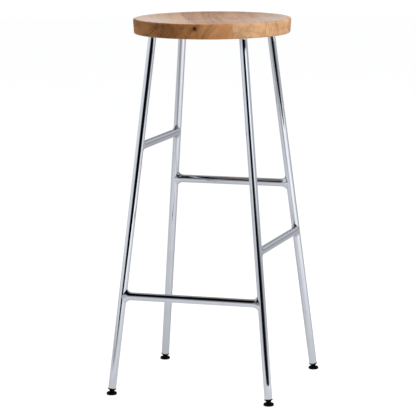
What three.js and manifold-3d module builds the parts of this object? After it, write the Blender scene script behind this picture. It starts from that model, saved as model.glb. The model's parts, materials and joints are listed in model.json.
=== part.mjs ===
// A round wooden bar stool on four splayed tube legs, with footrest rungs at four different heights.
// Millimetres, +Z up, the front faces -Y, and the origin is on the floor under the middle of the seat.

import * as THREE from "three";
import { mergeVertices } from "three/addons/utils/BufferGeometryUtils.js";
import Module from "manifold-3d";

const wasm = await Module();
wasm.setup();

// Overall sizes
const OVERALL_HEIGHT = 750;
const SEAT_DIAMETER = 318;
const LEG_SPACING_AT_FLOOR = 331; // leg centre to leg centre along one side

// Clearances
const FIT_GAP = 0.3; // between two pieces that touch or fit into each other
const GLUE_GAP = 0.3; // between two staves

// Seat
const SEAT_THICKNESS = 30;
const SIDE_TAPER = 1.5; // how much smaller the radius is at the underside
const TOP_ROUND = 4;
const BOTTOM_ROUND = 3;
const RIM_WIDTH = 14; // from the seat's edge to the dish
const DISH_DEPTH = 6;
const STAVE_COUNT = 5;
const LEFT_STAVE_WIDTH = 39; // from the seat's edge to the first glue line
const RIGHT_STAVE_WIDTH = 69; // from the last glue line to the seat's edge
const STAVE_TURN = THREE.MathUtils.degToRad(25); // the staves run this far round from front-to-back

// Mounting cross, let into the underside of the seat
const LEG_INSET = 26; // from the seat's edge to a leg's centre at the underside
const PLATE_THICKNESS = 4;
const ARM_WIDTH = 34;

// Screws
const SCREW_DIAMETER = 4.5;
const SCREW_HEAD_DIAMETER = 9;
const SCREW_HEAD_HEIGHT = 2.8;
const SCREW_POINT = 5; // length of the pointed end
const WOOD_OVER_SCREW = 4.5; // left between a screw's point and the bottom of the dish
const INNER_SCREW_RADIUS = 30; // from the middle of the cross
const OUTER_SCREW_TO_LEG = 25; // from the outer screw to the leg's centre

// Tubes of the legs and rungs
const TUBE_DIAMETER = 16;
const TUBE_WALL = 1.5;

// Rungs
const LOWEST_RUNG_HEIGHT = 200;
const RUNG_STEP = 100; // each rung is this much higher than the one before
const FLARE_RADIUS = 13; // curve of the trumpet end
const FLARE_RISE = 6.5; // the trumpet's lip above the plain tube

// Glides: a plug in each leg carries a ball under a collar, and a pad tilts on the ball. A flared skirt
// below the collar covers the top of the pad's socket.
const BALL_DIAMETER = 7.2;
const NECK_DIAMETER = 4;
const COLLAR_DIAMETER = 17;
const COLLAR_THICKNESS = 2;
const SKIRT_HEIGHT = 3.1; // from the skirt's lower edge to the collar's underside
const SKIRT_WALL = 0.7; // at the lower edge
const SKIRT_ABOVE_MOUTH = 0.55; // from the socket's mouth to the skirt's lower edge
const PLUG_LENGTH = 18;
const PLUG_CHAMFER = 1.5;
const PAD_DIAMETER = 21;
const PAD_HEIGHT = 6; // to the shoulder
const PAD_FLOOR = 1.2; // under the socket
const PAD_BOTTOM_ROUND = 2;
const PAD_TOP_ROUND = 3.2;
const SOCKET_WALL = 1.3;
const SOCKET_LIP = 2.3; // the socket's mouth above the ball's centre

// Fineness of the round shapes
const SEAT_SIDES = 60;
const TUBE_SIDES = 20;
const PAD_SIDES = 16;
const SCREW_SIDES = 12;
const FLARE_STEPS = 4;
const BALL_STEPS = 6;
const SKIRT_STEPS = 3;

// Sizes that follow
const seatRadius = SEAT_DIAMETER / 2;
const dishRadius = seatRadius - RIM_WIDTH;
const underside = OVERALL_HEIGHT - SEAT_THICKNESS;
const tubeRadius = TUBE_DIAMETER / 2;
const ballRadius = BALL_DIAMETER / 2;
const socketRadius = ballRadius + FIT_GAP;
const domeRadius = socketRadius + SOCKET_WALL;
const ballHeight = PAD_FLOOR + socketRadius;
const legTopRadius = seatRadius - LEG_INSET; // from the stool's axis to a leg's centre, at the underside
const legFloorRadius = (LEG_SPACING_AT_FLOOR / 2) * Math.SQRT2;
const legLean = Math.atan2(legFloorRadius - legTopRadius, underside);
const sideSlope = Math.tan(legLean) / Math.SQRT2; // a leg's lean as seen square to one side
const saddleRadius = tubeRadius + FIT_GAP;

// How far a leg's centre is from the stool's middle, along X and along Y, at a height.
function legOffset(height) {
  return LEG_SPACING_AT_FLOOR / 2 - sideSlope * height;
}

function degrees(angle) {
  return THREE.MathUtils.degToRad(angle);
}

// Points on an arc about a centre, from one angle to another, both ends included.
function arc(centreX, centreY, radius, from, to, steps) {
  const points = [];
  for (let i = 0; i <= steps; i++) {
    const angle = from + ((to - from) * i) / steps;
    points.push(new THREE.Vector2(centreX + radius * Math.cos(angle), centreY + radius * Math.sin(angle)));
  }
  return points;
}

// A round shape about the Z axis, from an outline of radius and height that runs anticlockwise.
function turned(outline, sides) {
  return new THREE.LatheGeometry(outline, sides).rotateX(Math.PI / 2);
}

// A manifold-3d solid from a closed geometry.
function toSolid(geometry) {
  const bare = geometry.clone();
  bare.deleteAttribute("normal");
  bare.deleteAttribute("uv");
  const merged = mergeVertices(bare, 1e-4);
  const vertProperties = new Float32Array(merged.attributes.position.array);
  const triVerts = new Uint32Array(merged.index.array);
  return new wasm.Manifold(new wasm.Mesh({ numProp: 3, vertProperties, triVerts }));
}

// A geometry from a manifold-3d solid.
function toGeometry(solid) {
  const { vertProperties, triVerts } = solid.getMesh();
  const geometry = new THREE.BufferGeometry();
  geometry.setAttribute("position", new THREE.BufferAttribute(vertProperties, 3));
  geometry.setIndex(new THREE.BufferAttribute(triVerts, 1));
  geometry.computeVertexNormals();
  return geometry;
}

function cut(geometry, ...tools) {
  let solid = toSolid(geometry);
  for (const tool of tools) {
    solid = solid.subtract(toSolid(tool));
  }
  return toGeometry(solid);
}

function common(geometry, other) {
  return toGeometry(toSolid(geometry).intersect(toSolid(other)));
}

// Materials
const oak = { color: 0xb9926a, roughness: 0.55, metalness: 0 };
const chrome = { color: 0xd3d6db, roughness: 0.08, metalness: 1 };
const zinc = { color: 0xb4b6b8, roughness: 0.35, metalness: 1 };
const blackPlastic = { color: 0x141414, roughness: 0.25, metalness: 0 };

function piece(name, geometry, finish) {
  const mesh = new THREE.Mesh(geometry, new THREE.MeshStandardMaterial(finish));
  mesh.name = name;
  return mesh;
}

const stool = new THREE.Group();

// ---------- Seat ----------

// The whole seat with its underside at height 0: a tapered side, two rounded edges and a dished top.
function seatBlank() {
  const bottomRadius = seatRadius - SIDE_TAPER;
  const dishCurve = (dishRadius ** 2 + DISH_DEPTH ** 2) / (2 * DISH_DEPTH);
  const dishAngle = Math.asin(dishRadius / dishCurve);
  const dishCentre = SEAT_THICKNESS - DISH_DEPTH + dishCurve;
  const bottomEdge = arc(bottomRadius - BOTTOM_ROUND, BOTTOM_ROUND, BOTTOM_ROUND, degrees(-90), 0, 3);
  const topEdge = arc(seatRadius - TOP_ROUND, SEAT_THICKNESS - TOP_ROUND, TOP_ROUND, 0, degrees(90), 3);
  const dish = arc(0, dishCentre, dishCurve, degrees(-90) + dishAngle, degrees(-90), 5);
  dish[dish.length - 1].x = 0;
  const outline = [new THREE.Vector2(0, 0), ...bottomEdge, ...topEdge, ...dish];
  return turned(outline, SEAT_SIDES);
}

// The arms' places round the stool, each pointing at a leg.
const corners = [
  { name: "back_right", turn: degrees(45) },
  { name: "back_left", turn: degrees(135) },
  { name: "front_left", turn: degrees(225) },
  { name: "front_right", turn: degrees(315) },
];

const screwRadii = [INNER_SCREW_RADIUS, legTopRadius - OUTER_SCREW_TO_LEG];

// The cross as a flat plate from height 0 up, grown by a margin all round. Each arm ends round its leg.
function crossPlate(margin, thickness) {
  const halfWidth = ARM_WIDTH / 2 + margin;
  const arms = corners.map(({ turn }) => {
    const shape = new THREE.Shape();
    shape.moveTo(0, -halfWidth);
    shape.lineTo(legTopRadius, -halfWidth);
    shape.absarc(legTopRadius, 0, halfWidth, degrees(-90), degrees(90), false);
    shape.lineTo(0, halfWidth);
    shape.absarc(0, 0, halfWidth, degrees(90), degrees(270), false);
    const settings = { depth: thickness, bevelEnabled: false, curveSegments: 8 };
    return toSolid(new THREE.ExtrudeGeometry(shape, settings).rotateZ(turn));
  });
  return toGeometry(wasm.Manifold.union(arms));
}

// A round rod about the Z axis with a pointed upper end.
function pointedRod(radius, bottom, top) {
  const outline = [
    new THREE.Vector2(0, bottom),
    new THREE.Vector2(radius, bottom),
    new THREE.Vector2(radius, top - SCREW_POINT),
    new THREE.Vector2(0, top),
  ];
  return turned(outline, SCREW_SIDES);
}

// Each screw's place: its name, and its distance and direction from the stool's axis.
const screwPlaces = corners.flatMap(({ name, turn }) =>
  screwRadii.map((radius, i) => ({
    name: `screw_${name}_${["inner", "outer"][i]}`,
    x: radius * Math.cos(turn),
    y: radius * Math.sin(turn),
  })),
);

// Heights above the underside of the seat
const screwSeat = -FIT_GAP;
const screwTip = SEAT_THICKNESS - DISH_DEPTH - WOOD_OVER_SCREW;

function screwHoles(bottom, top) {
  return screwPlaces.map(({ x, y }) =>
    pointedRod(SCREW_DIAMETER / 2 + FIT_GAP, bottom, top).translate(x, y, 0),
  );
}

const pocket = crossPlate(FIT_GAP, PLATE_THICKNESS + FIT_GAP + 1).translate(0, 0, -1);
const routedSeat = cut(seatBlank(), pocket, ...screwHoles(0, screwTip + FIT_GAP));

// Glue lines as distances from the seat's middle. The staves between the outer two share the width that
// those leave, and the outer two are cut from slabs that run past the seat's edge.
const firstGlueLine = LEFT_STAVE_WIDTH - seatRadius;
const lastGlueLine = seatRadius - RIGHT_STAVE_WIDTH;
const staveWidth = (lastGlueLine - firstGlueLine) / (STAVE_COUNT - 2);
const glueLines = [-SEAT_DIAMETER];
for (let i = 0; i <= STAVE_COUNT - 2; i++) {
  glueLines.push(firstGlueLine + i * staveWidth);
}
glueLines.push(SEAT_DIAMETER);

// Each stave is the part of the seat between two glue lines.
for (let i = 0; i < STAVE_COUNT; i++) {
  const left = glueLines[i] + GLUE_GAP / 2;
  const right = glueLines[i + 1] - GLUE_GAP / 2;
  const slab = new THREE.BoxGeometry(right - left, 2 * SEAT_DIAMETER, 4 * SEAT_THICKNESS);
  slab.translate((left + right) / 2, 0, 0).rotateZ(STAVE_TURN);
  const stave = piece(`seat_stave_${i + 1}`, common(routedSeat, slab), oak);
  stave.position.z = underside;
  stool.add(stave);
}

// ---------- Mounting cross and screws ----------

const throughPlate = screwHoles(-1, PLATE_THICKNESS + SCREW_POINT + 1);
const drilledCross = cut(crossPlate(0, PLATE_THICKNESS), ...throughPlate);
const cross = piece("mounting_cross", drilledCross, chrome);
cross.position.z = underside;
stool.add(cross);

// A pan-head screw, pointing up, with the underside of its head at height 0.
function screwGeometry() {
  const headRadius = SCREW_HEAD_DIAMETER / 2;
  const shankRadius = SCREW_DIAMETER / 2;
  const length = screwTip - screwSeat;
  const outline = [
    new THREE.Vector2(0, -SCREW_HEAD_HEIGHT),
    new THREE.Vector2(headRadius * 0.6, -SCREW_HEAD_HEIGHT),
    new THREE.Vector2(headRadius, -SCREW_HEAD_HEIGHT / 2),
    new THREE.Vector2(headRadius, 0),
    new THREE.Vector2(shankRadius, 0),
    new THREE.Vector2(shankRadius, length - SCREW_POINT),
    new THREE.Vector2(0, length),
  ];
  return turned(outline, SCREW_SIDES);
}

for (const { name, x, y } of screwPlaces) {
  const screw = piece(name, screwGeometry(), zinc);
  screw.position.set(x, y, underside + screwSeat);
  stool.add(screw);
}

// ---------- Legs and glides ----------

// Heights from the ball's centre, along the leg
const skirtBottom = SOCKET_LIP + SKIRT_ABOVE_MOUTH;
const collarBottom = skirtBottom + SKIRT_HEIGHT;
const collarTop = collarBottom + COLLAR_THICKNESS;
const legStart = collarTop + FIT_GAP;

const legAxisRadiusAtBall = legOffset(ballHeight) * Math.SQRT2;

// A leg tube along Z from the ball's centre at 0, square at the foot and cut level at the top.
function legGeometry() {
  const axisLength = (underside - FIT_GAP - ballHeight) / Math.cos(legLean);
  const innerRadius = tubeRadius - TUBE_WALL;
  const spare = TUBE_DIAMETER;
  const outline = [
    new THREE.Vector2(tubeRadius, legStart),
    new THREE.Vector2(tubeRadius, axisLength + spare),
    new THREE.Vector2(innerRadius, axisLength + spare),
    new THREE.Vector2(innerRadius, legStart),
    new THREE.Vector2(tubeRadius, legStart),
  ];
  const above = new THREE.BoxGeometry(4 * spare, 4 * spare, 4 * spare);
  above.translate(0, 0, 2 * spare).rotateY(legLean).translate(0, 0, axisLength);
  return cut(turned(outline, TUBE_SIDES), above);
}

// The plug, its collar and skirt, and the neck and ball under the skirt, about the ball's centre.
function insertGeometry() {
  const plugRadius = tubeRadius - TUBE_WALL - FIT_GAP;
  const plugTop = collarTop + PLUG_LENGTH;
  const neckRadius = NECK_DIAMETER / 2;
  const collarRadius = COLLAR_DIAMETER / 2;
  const roofRadius = domeRadius + FIT_GAP;
  const waistRadius = Math.sqrt(roofRadius ** 2 - skirtBottom ** 2) + SKIRT_WALL;
  const ball = arc(0, 0, ballRadius, degrees(-90), Math.acos(neckRadius / ballRadius), BALL_STEPS);
  ball[0].x = 0;
  const roofFrom = Math.acos(neckRadius / roofRadius);
  const roofTo = Math.asin(skirtBottom / roofRadius);
  const roof = arc(0, 0, roofRadius, roofFrom, roofTo, SKIRT_STEPS);
  const flareWidth = collarRadius - waistRadius;
  const flare = arc(0, 0, 1, degrees(180), degrees(90), SKIRT_STEPS);
  flare.forEach((point) => {
    point.set(collarRadius + point.x * flareWidth, skirtBottom + point.y * SKIRT_HEIGHT);
  });
  const outline = [
    ...ball,
    ...roof,
    ...flare,
    new THREE.Vector2(collarRadius, collarTop),
    new THREE.Vector2(plugRadius, collarTop),
    new THREE.Vector2(plugRadius, plugTop - PLUG_CHAMFER),
    new THREE.Vector2(plugRadius - PLUG_CHAMFER, plugTop),
    new THREE.Vector2(0, plugTop),
  ];
  return turned(outline, PAD_SIDES);
}

// The pad that lies on the floor, about the ball's centre: a low round foot with a domed socket.
function padGeometry() {
  const padRadius = PAD_DIAMETER / 2;
  const bottom = -ballHeight;
  const shoulder = bottom + PAD_HEIGHT;
  const mouthAngle = Math.asin(SOCKET_LIP / socketRadius);
  const domeFoot = Math.asin(shoulder / domeRadius);
  const domeTop = Math.asin(SOCKET_LIP / domeRadius);
  const lowRound = PAD_BOTTOM_ROUND;
  const highRound = PAD_TOP_ROUND;
  const lowEdge = arc(padRadius - lowRound, bottom + lowRound, lowRound, degrees(-90), 0, 3);
  const highEdge = arc(padRadius - highRound, shoulder - highRound, highRound, 0, degrees(90), 3);
  const socket = arc(0, 0, socketRadius, mouthAngle, degrees(-90), BALL_STEPS);
  socket[socket.length - 1].x = 0;
  const outline = [
    new THREE.Vector2(0, bottom),
    ...lowEdge,
    ...highEdge,
    ...arc(0, 0, domeRadius, domeFoot, domeTop, 2),
    ...socket,
  ];
  return turned(outline, PAD_SIDES);
}

for (const { name, turn } of corners) {
  const corner = new THREE.Group();
  corner.rotation.z = turn;
  stool.add(corner);

  const foot = new THREE.Group();
  foot.position.set(legAxisRadiusAtBall, 0, ballHeight);
  corner.add(foot);

  const leaning = new THREE.Group();
  leaning.rotation.y = -legLean;
  leaning.add(piece(`leg_${name}`, legGeometry(), chrome));
  leaning.add(piece(`glide_insert_${name}`, insertGeometry(), blackPlastic));
  foot.add(leaning);
  foot.add(piece(`glide_pad_${name}`, padGeometry(), blackPlastic));
}

// ---------- Rungs ----------

const flareReach = Math.sqrt(FLARE_RADIUS ** 2 - (FLARE_RADIUS - FLARE_RISE) ** 2);
const flareStart = saddleRadius + flareReach; // from the leg's axis
const flareCentre = tubeRadius + FLARE_RADIUS;

// Height of the trumpet's outside above the rung's axis, at a distance from the leg's axis.
function flareHeight(fromLeg) {
  const along = THREE.MathUtils.clamp(flareStart - fromLeg, 0, flareReach);
  return flareCentre - Math.sqrt(FLARE_RADIUS ** 2 - along ** 2);
}

// One end of the rung's wall, as radius and distance from the leg's axis. Inside and outside share a centre.
function flareOutline(inset) {
  const curve = FLARE_RADIUS + inset;
  const sweep = Math.asin(flareReach / curve);
  const outline = arc(flareCentre, flareStart, curve, degrees(180) + sweep, degrees(180), FLARE_STEPS);
  return [new THREE.Vector2(outline[0].x, 0), ...outline];
}

// A rung along X, centred on the origin. Its trumpet ends are no wider than the tube, follow the lean of
// the legs and are hollowed to fit round them.
function rungGeometry(halfSpan) {
  const wholeWall = (inset) => {
    const end = flareOutline(inset);
    const low = end.map(({ x, y }) => new THREE.Vector2(x, y - halfSpan));
    const high = end.map(({ x, y }) => new THREE.Vector2(x, halfSpan - y)).reverse();
    return [...low, ...high];
  };
  const outside = wholeWall(0);
  const inside = wholeWall(TUBE_WALL).reverse();
  const outline = [...outside, ...inside, outside[0]];
  const blank = new THREE.LatheGeometry(outline, TUBE_SIDES).rotateZ(degrees(-90));

  const points = blank.attributes.position;
  for (let i = 0; i < points.count; i++) {
    const point = new THREE.Vector3().fromBufferAttribute(points, i);
    const height = flareHeight(halfSpan - Math.abs(point.x));
    const flared = (height - tubeRadius) / FLARE_RISE;
    const y = (point.y * tubeRadius) / height + sideSlope * point.z * flared;
    const x = point.x - Math.sign(point.x) * sideSlope * point.z;
    points.setXYZ(i, x, y, point.z);
  }

  const legTools = [-1, 1].map((end) => {
    const axis = new THREE.Vector3(-end * sideSlope, sideSlope, 1).normalize();
    const turn = new THREE.Quaternion().setFromUnitVectors(new THREE.Vector3(0, 1, 0), axis);
    const length = 8 * (tubeRadius + FLARE_RISE);
    const tool = new THREE.CylinderGeometry(saddleRadius, saddleRadius, length, TUBE_SIDES);
    return tool.applyQuaternion(turn).translate(end * halfSpan, 0, 0);
  });
  return cut(blank, ...legTools);
}

["front", "right", "back", "left"].forEach((side, i) => {
  const height = LOWEST_RUNG_HEIGHT + i * RUNG_STEP;
  const group = new THREE.Group();
  group.rotation.z = degrees(90) * i;
  stool.add(group);

  const rung = piece(`rung_${side}`, rungGeometry(legOffset(height)), chrome);
  rung.position.set(0, -legOffset(height), height);
  group.add(rung);
});

export default stool;
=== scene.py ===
import json
import math
from functools import reduce

import bmesh
import bpy
from bmesh.types import BMEdge, BMVert
from bpy.props import FloatProperty, FloatVectorProperty, PointerProperty
from mathutils import Matrix, Vector


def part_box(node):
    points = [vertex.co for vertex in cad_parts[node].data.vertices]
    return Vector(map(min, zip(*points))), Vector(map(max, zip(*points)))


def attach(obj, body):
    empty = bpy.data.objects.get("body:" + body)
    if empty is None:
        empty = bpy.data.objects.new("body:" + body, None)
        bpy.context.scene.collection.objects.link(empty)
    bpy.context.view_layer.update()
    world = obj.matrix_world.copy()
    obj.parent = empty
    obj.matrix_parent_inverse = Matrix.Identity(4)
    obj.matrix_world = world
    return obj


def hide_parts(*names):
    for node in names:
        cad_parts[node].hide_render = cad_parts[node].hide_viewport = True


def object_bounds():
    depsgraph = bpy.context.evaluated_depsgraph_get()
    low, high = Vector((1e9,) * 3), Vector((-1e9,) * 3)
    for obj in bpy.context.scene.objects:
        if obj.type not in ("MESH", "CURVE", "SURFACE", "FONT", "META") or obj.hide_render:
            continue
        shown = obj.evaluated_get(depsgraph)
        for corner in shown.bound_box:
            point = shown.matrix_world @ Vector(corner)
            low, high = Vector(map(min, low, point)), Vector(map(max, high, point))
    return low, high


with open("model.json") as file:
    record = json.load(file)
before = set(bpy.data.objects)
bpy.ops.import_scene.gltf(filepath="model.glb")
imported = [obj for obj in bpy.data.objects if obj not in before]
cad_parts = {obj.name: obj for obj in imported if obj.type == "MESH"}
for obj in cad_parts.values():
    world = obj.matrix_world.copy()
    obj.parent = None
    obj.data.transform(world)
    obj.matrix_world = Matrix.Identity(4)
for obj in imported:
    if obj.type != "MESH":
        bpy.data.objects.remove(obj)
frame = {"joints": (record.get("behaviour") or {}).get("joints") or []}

bl_info = {
    "name": "Bar stool with footrest",
    "version": (1, 0, 0),
    "blender": (4, 5, 0),
    "location": "View3D > Sidebar > Bar stool",
    "description": "Builds a bar stool with a round oak seat, chromed tube legs and four rungs",
    "category": "Add Mesh",
}

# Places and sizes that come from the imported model
CAD_LOW, CAD_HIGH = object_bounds()
CORNERS = ("back_right", "back_left", "front_left", "front_right")
RUNG_TURNS = {"front": 0, "right": 90, "back": 180, "left": 270}
STAVE_NUMBERS = (1, 2, 3, 4, 5)
BALLS = {joint["child"].removeprefix("pad_"): Vector(joint["pos_m"]) for joint in frame["joints"]}
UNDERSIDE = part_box("seat_stave_3")[0].z
SEAT_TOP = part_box("seat_stave_1")[1].z
SEAT_RADIUS = max(abs(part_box("seat_stave_5")[1].x), abs(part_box("seat_stave_1")[0].x))
PLATE_LOW, PLATE_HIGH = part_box("mounting_cross")
STEPS_ROUND = 96
SAME_PLACE = 1e-7  # points nearer than this are one point
FIT_GAP = 0.0003  # room round a piece that is let into another
SHARP_ABOVE = math.radians(35)  # edges that bend more than this stay sharp
SCREW_CORE = 0.0017  # radius of a screw's plain shank
THREAD_RADIUS = 0.00225
SCREW_POINT = 0.005  # length of a screw's pointed end


def leg_slope(tube_radius):
    """How far a leg moves sideways for each metre of height, along one side of the stool."""
    low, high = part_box("leg_back_right")
    ball = BALLS["back_right"]
    slope = 0.0
    for _ in range(4):
        centre = low.x + tube_radius * math.hypot(1, slope)
        slope = (ball.x - centre) / (high.z - ball.z)
    return slope


def leg_offset(height, tube_radius):
    """The distance of a leg's axis from the middle of the stool, along one side, at a height."""
    ball = BALLS["back_right"]
    return ball.x - leg_slope(tube_radius) * (height - ball.z)


def corner_side(corner):
    """Plus or minus one along X and along Y, for the corner that a leg stands at."""
    ball = BALLS[corner]
    return Vector((math.copysign(1, ball.x), math.copysign(1, ball.y), 0))


def leg_direction(corner, tube_radius):
    """The direction of a leg's axis, upwards."""
    return (Vector((0, 0, 1)) - corner_side(corner) * leg_slope(tube_radius)).normalized()


# ---------------------------------------------------------------------------
# Sizes and colours


def length_setting(name, default, low, high, description):
    return FloatProperty(
        name=name, description=description, default=default, min=low, max=high, unit="LENGTH")


def number_setting(name, default, low, high, description):
    return FloatProperty(name=name, description=description, default=default, min=low, max=high)


def angle_setting(name, degrees, description):
    return FloatProperty(
        name=name, description=description, default=math.radians(degrees), subtype="ANGLE")


def colour_setting(name, default, description):
    return FloatVectorProperty(
        name=name, description=description, default=default, size=3, subtype="COLOR", min=0, max=1)


class StoolSeat(bpy.types.PropertyGroup):
    rim_width: length_setting("Rim width", 0.010, 0.002, 0.05, "From the seat's edge to the dish")
    rim_blend: length_setting(
        "Rim blend", 0.008, 0.001, 0.03, "Width over which the rim rolls into the dish")
    dish_depth: length_setting(
        "Dish depth", 0.006, 0.001, 0.012, "Depth of the dish at the middle of the seat")
    side_taper: length_setting(
        "Side taper", 0.0015, 0.0, 0.01, "How much smaller the radius is at the underside")
    top_round: length_setting("Top round", 0.004, 0.001, 0.01, "Radius of the seat's upper edge")
    bottom_round: length_setting("Bottom round", 0.003, 0.001, 0.01, "Radius of the seat's lower edge")
    stave_turn: angle_setting("Stave turn", 25, "How far round from front to back the staves run")
    left_stave: length_setting(
        "Left stave", 0.039, 0.01, 0.1, "From the seat's edge to the first glue line")
    right_stave: length_setting(
        "Right stave", 0.069, 0.01, 0.1, "From the last glue line to the seat's edge")
    glue_line: length_setting("Glue line", 0.00004, 0.00001, 0.001, "Gap between two staves")
    oak_light: colour_setting(
        "Oak, light", (0.76, 0.464, 0.256), "Colour of the palest wood between the growth rings")
    oak_ripe: colour_setting(
        "Oak, ripe", (0.68, 0.306, 0.112), "Colour of the warmest wood between the growth rings")
    oak_dark: colour_setting("Oak, dark", (0.215, 0.068, 0.018), "Colour of the growth rings")
    oak_pore: colour_setting(
        "Oak, pores", (0.075, 0.030, 0.011), "Colour of the open pores and the knot")


class StoolFrame(bpy.types.PropertyGroup):
    tube_diameter: length_setting("Tube", 0.016, 0.008, 0.03, "Outside diameter of the legs and rungs")
    tube_wall: length_setting("Tube wall", 0.0015, 0.0005, 0.004, "Wall thickness of the tubes")
    flare_radius: length_setting("Flare radius", 0.013, 0.005, 0.03, "Curve of a rung's trumpet end")
    flare_rise: length_setting(
        "Flare rise", 0.0065, 0.001, 0.012, "How far the trumpet's lip stands above the plain tube")
    arm_width: length_setting("Arm width", 0.034, 0.02, 0.05, "Width of the mounting cross's arms")
    saddle_gap: length_setting(
        "Saddle gap", 0.00003, 0.00001, 0.001, "Gap between a rung's end and the leg it sits on")
    weld_size: length_setting(
        "Weld", 0.003, 0.001, 0.006, "Size of the weld between a leg and the mounting cross")
    chrome: colour_setting("Chrome", (0.565, 0.585, 0.635), "Colour of the chrome plating")
    zinc: colour_setting("Zinc", (0.52, 0.53, 0.55), "Colour of the zinc plated screws")


class StoolGlides(bpy.types.PropertyGroup):
    pad_diameter: length_setting("Pad", 0.021, 0.015, 0.04, "Diameter of the foot pads")
    pad_height: length_setting(
        "Pad height", 0.006, 0.004, 0.01, "Height of a pad's shoulder above the floor")
    ball_diameter: length_setting("Ball", 0.0072, 0.005, 0.01, "Diameter of the ball in the pad")
    collar_diameter: length_setting("Collar", 0.017, 0.012, 0.03, "Diameter of the collar under the leg")
    waist_diameter: length_setting(
        "Waist", 0.0108, 0.009, 0.016, "Diameter of the skirt where it meets the pad")
    plastic: colour_setting("Plastic", (0.0022, 0.0022, 0.0024), "Colour of the moulded plastic")


class StoolStage(bpy.types.PropertyGroup):
    azimuth: angle_setting("Azimuth", 17.97, "Where the camera stands, round from the front")
    elevation: angle_setting("Elevation", 9.27, "How far above the horizon the camera stands")
    roll: angle_setting("Roll", -0.42, "How far the camera is turned about its own line of sight")
    distance: length_setting("Distance", 4.807, 1, 20, "From the camera to the middle of the stool")
    lens: number_setting("Lens", 204.4, 20, 400, "Focal length in millimetres on a 36 mm sensor")
    shift_across: number_setting("Shift across", -0.0131, -1, 1, "Sideways shift of the lens")
    shift_up: number_setting("Shift up", -0.0153, -1, 1, "Upward shift of the lens")
    backdrop: number_setting("Backdrop", 1.0, 0, 4, "Brightness of the pale surroundings")
    key: number_setting("Key light", 38, 0, 500, "Power of the soft light at the right, in watts")
    overhead: number_setting(
        "Overhead light", 22, 0, 500, "Power of the soft light above the seat, in watts")


# ---------------------------------------------------------------------------
# Drawing and turning


def only(kind, items):
    return [item for item in items if isinstance(item, kind)]


class Outline:
    """A wire drawn in the XZ plane by pulling its last point along."""

    def __init__(self, bm, x, z):
        self.bm = bm
        self.first = bm.verts.new((x, 0, z))
        self.tip = self.first

    def line(self, x, z, steps=1):
        start = self.tip.co.copy()
        for step in range(steps):
            pulled = bmesh.ops.extrude_vert_indiv(self.bm, verts=[self.tip])
            self.tip = pulled["verts"][0]
            self.tip.co = start.lerp(Vector((x, 0, z)), (step + 1) / steps)
        return self

    def arc(self, x, z, turn, steps):
        """Turns the last point about (x, z); a positive turn goes from +X towards +Z."""
        turned = bmesh.ops.spin(
            self.bm, geom=[self.tip], cent=(x, 0, z), axis=(0, 1, 0), angle=-turn, steps=steps)
        self.tip = only(BMVert, turned["geom_last"])[0]
        return self

    def close(self):
        self.bm.edges.new((self.tip, self.first))
        return self


def turn_round(bm, axis=(0, 0, 1), steps=STEPS_ROUND):
    """Spins everything drawn so far once round an axis through the origin, into a closed solid."""
    bmesh.ops.spin(
        bm, geom=bm.verts[:] + bm.edges[:], cent=(0, 0, 0), axis=axis,
        angle=math.tau, steps=steps, use_merge=True)
    clean(bm)


def clean(bm):
    """Merges doubles, closes what is left of the poles and turns every face outwards."""
    bmesh.ops.remove_doubles(bm, verts=bm.verts[:], dist=SAME_PLACE)
    bmesh.ops.dissolve_degenerate(bm, dist=1e-8, edges=bm.edges[:])
    bmesh.ops.recalc_face_normals(bm, faces=bm.faces[:])


def mesh_from(bm):
    mesh = bpy.data.meshes.new("shape")
    bm.to_mesh(mesh)
    bm.free()
    return mesh


def cut_off(bm, place, outwards):
    """Takes off what lies beyond a plane and gives the edges of the cut."""
    cut = bmesh.ops.bisect_plane(
        bm, geom=bm.verts[:] + bm.edges[:] + bm.faces[:], dist=SAME_PLACE, plane_co=place,
        plane_no=outwards, clear_outer=True)
    return only(BMEdge, cut["geom_cut"])


def finish_piece(mesh, name, nodes, material, body="frame"):
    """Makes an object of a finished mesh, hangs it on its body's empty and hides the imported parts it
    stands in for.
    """
    mesh.name = name
    mesh.shade_smooth()
    mesh.set_sharp_from_angle(angle=SHARP_ABOVE)
    mesh.materials.clear()
    mesh.materials.append(material)
    piece = bpy.data.objects.new(name, mesh)
    bpy.context.scene.collection.objects.link(piece)
    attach(piece, body)
    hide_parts(*nodes)


def cut_away(mesh, *cutters):
    """The mesh with the cutters' volumes taken out of it."""
    return combine(mesh, "DIFFERENCE", *cutters)


def combine(mesh, operation, *others):
    """The mesh with the others' volumes taken out of it or joined to it."""
    scene = bpy.context.scene
    worked = bpy.data.objects.new("worked", mesh)
    scene.collection.objects.link(worked)
    tools = []
    for other in others:
        tool = bpy.data.objects.new("tool", other)
        scene.collection.objects.link(tool)
        tools.append(tool)
        modifier = worked.modifiers.new("combine", "BOOLEAN")
        modifier.operation = operation
        modifier.solver = "EXACT"
        modifier.object = tool
    bpy.context.view_layer.update()
    evaluated = worked.evaluated_get(bpy.context.evaluated_depsgraph_get())
    result = bpy.data.meshes.new_from_object(evaluated)
    for item in [worked, *tools]:
        bpy.data.objects.remove(item)
    bm = bmesh.new()
    bm.from_mesh(result)
    bmesh.ops.remove_doubles(bm, verts=bm.verts[:], dist=SAME_PLACE)
    bm.to_mesh(result)
    bm.free()
    if not result.polygons:
        raise RuntimeError("nothing of the piece is left")
    return result


# ---------------------------------------------------------------------------
# Nodes


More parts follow.
